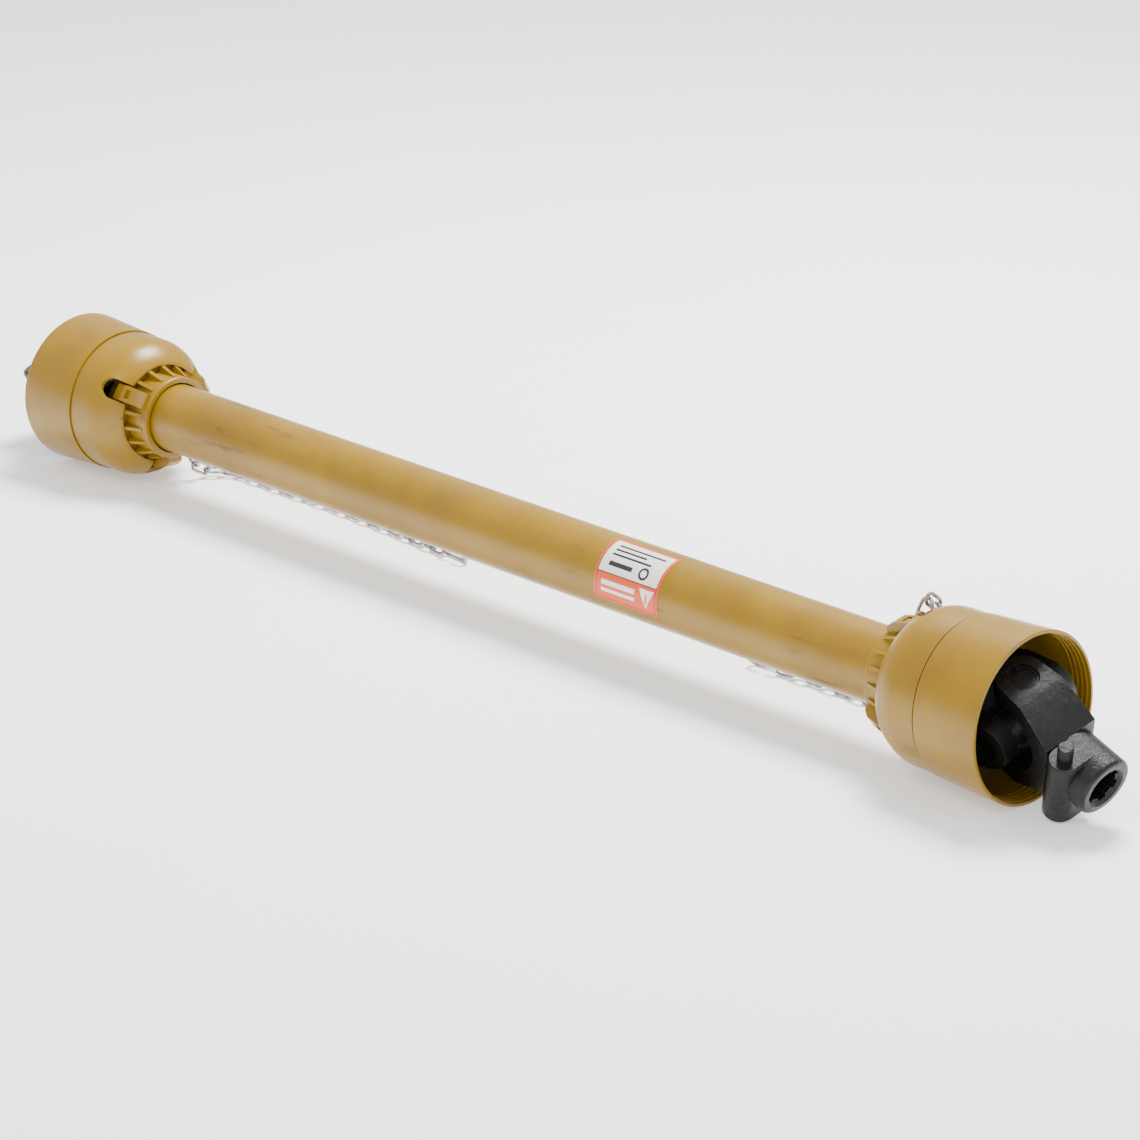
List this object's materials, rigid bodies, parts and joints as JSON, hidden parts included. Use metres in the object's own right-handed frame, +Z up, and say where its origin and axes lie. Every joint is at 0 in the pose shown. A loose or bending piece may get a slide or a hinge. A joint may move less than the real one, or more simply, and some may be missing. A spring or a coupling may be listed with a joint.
{
  "type": "guarded farm drive shaft",
  "caption": "Telescoping farm drive shaft with a universal joint and locking splined yoke at each end, inside a plastic safety guard with cones and chains.",
  "frame": {"origin": "on the floor under the middle of the whole pushed-together shaft", "axes": "+X along the shaft to its tractor end, +Z up, +Y across"},
  "size_m": [1.5312, 0.1598, 0.1602],
  "materials": {
    "guard_plastic": "satin moulded polyethylene, weathered",
    "ring_nylon": "natural nylon",
    "black_paint": "satin black paint, worn at edges",
    "ground_steel": "ground",
    "dark_spring_steel": "oil-blackened",
    "forged_steel": "forged, greasy",
    "brass": "plain",
    "seal_rubber": "matt",
    "worn_steel": "rubbed bright at the button",
    "zinc_chain": "zinc plated, dulled",
    "drawn_steel": "drawn, greased",
    "label_print": "printed sheet"
  },
  "bodies": {
    "tractor_guard": {"tractor_guard_cone": "guard_plastic", "tractor_guard_hub": "guard_plastic", "tractor_bearing_ring": "ring_nylon", "tractor_chain_clip": "zinc_chain", "tractor_chain": "zinc_chain", "tractor_chain_hook": "zinc_chain", "outer_guard_tube": "guard_plastic", "guard_sticker": "label_print"},
    "tractor_shaft": {"tractor_tube_yoke": "black_paint", "tractor_tube_yoke_cups": "ground_steel", "tractor_tube_yoke_circlips": "dark_spring_steel", "tractor_roll_pin": "dark_spring_steel", "outer_drive_tube": "drawn_steel"},
    "tractor_joint_cross": {"tractor_cross": "forged_steel", "tractor_grease_nipple": "brass", "tractor_cross_seals": "seal_rubber", "tractor_needle_crowns": "ground_steel"},
    "tractor_yoke": {"tractor_end_yoke": "black_paint", "tractor_end_yoke_cups": "ground_steel", "tractor_end_yoke_circlips": "dark_spring_steel", "tractor_lock_plug": "black_paint", "tractor_lock_spring": "dark_spring_steel"},
    "tractor_lock": {"tractor_lock_pin": "worn_steel"},
    "implement_guard": {"implement_guard_cone": "guard_plastic", "implement_guard_hub": "guard_plastic", "implement_bearing_ring": "ring_nylon", "implement_chain_clip": "zinc_chain", "implement_chain": "zinc_chain", "implement_chain_hook": "zinc_chain", "inner_guard_tube": "guard_plastic"},
    "implement_shaft": {"implement_tube_yoke": "black_paint", "implement_tube_yoke_cups": "ground_steel", "implement_tube_yoke_circlips": "dark_spring_steel", "implement_roll_pin": "dark_spring_steel", "inner_drive_tube": "drawn_steel"},
    "implement_joint_cross": {"implement_cross": "forged_steel", "implement_grease_nipple": "brass", "implement_cross_seals": "seal_rubber", "implement_needle_crowns": "ground_steel"},
    "implement_yoke": {"implement_end_yoke": "black_paint", "implement_end_yoke_cups": "ground_steel", "implement_end_yoke_circlips": "dark_spring_steel", "implement_lock_plug": "black_paint", "implement_lock_spring": "dark_spring_steel"},
    "implement_lock": {"implement_lock_pin": "worn_steel"}
  },
  "joints": [
    {"name": "shaft_spin", "type": "hinge", "parent": "tractor_guard", "child": "tractor_shaft", "pos_m": [0, 0, 0.08], "axis": [1, 0, 0], "continuous": true},
    {"name": "shaft_extension", "type": "slide", "parent": "tractor_shaft", "child": "implement_shaft", "axis": [-1, 0, 0], "range_m": [0, 0.4]},
    {"name": "guard_extension", "type": "slide", "parent": "tractor_guard", "child": "implement_guard", "axis": [-1, 0, 0], "range_m": [0, 0.4]},
    {"name": "tractor_cross_swing", "type": "hinge", "parent": "tractor_shaft", "child": "tractor_joint_cross", "pos_m": [0.65592, 0, 0.08], "axis": [0, -0.9272, -0.3746], "range_deg": [-5, 45]},
    {"name": "tractor_yoke_swing", "type": "hinge", "parent": "tractor_joint_cross", "child": "tractor_yoke", "pos_m": [0.65592, 0, 0.08], "axis": [-0.342, 0.352, -0.8713], "range_deg": [-33.6, 16.4]},
    {"name": "implement_cross_swing", "type": "hinge", "parent": "implement_shaft", "child": "implement_joint_cross", "pos_m": [-0.65608, 0, 0.08], "axis": [0, -0.9272, -0.3746], "range_deg": [-45, 5]},
    {"name": "implement_yoke_swing", "type": "hinge", "parent": "implement_joint_cross", "child": "implement_yoke", "pos_m": [-0.65608, 0, 0.08], "axis": [-0.342, -0.352, 0.8713], "range_deg": [-15, 35]},
    {"name": "tractor_lock_press", "type": "slide", "parent": "tractor_yoke", "child": "tractor_lock", "axis": [-0.342, 0.352, -0.8713], "range_m": [0, 0.013], "stiffness_N_per_m": 400, "springref_m": -0.01, "deforming": ["tractor_lock_spring"]},
    {"name": "implement_lock_press", "type": "slide", "parent": "implement_yoke", "child": "implement_lock", "axis": [-0.342, -0.352, 0.8713], "range_m": [0, 0.013], "stiffness_N_per_m": 400, "springref_m": -0.01, "deforming": ["implement_lock_spring"]}
  ],
  "couplings": [
    {"joint": "guard_extension", "follows": "shaft_extension", "ratio": 1}
  ]
}
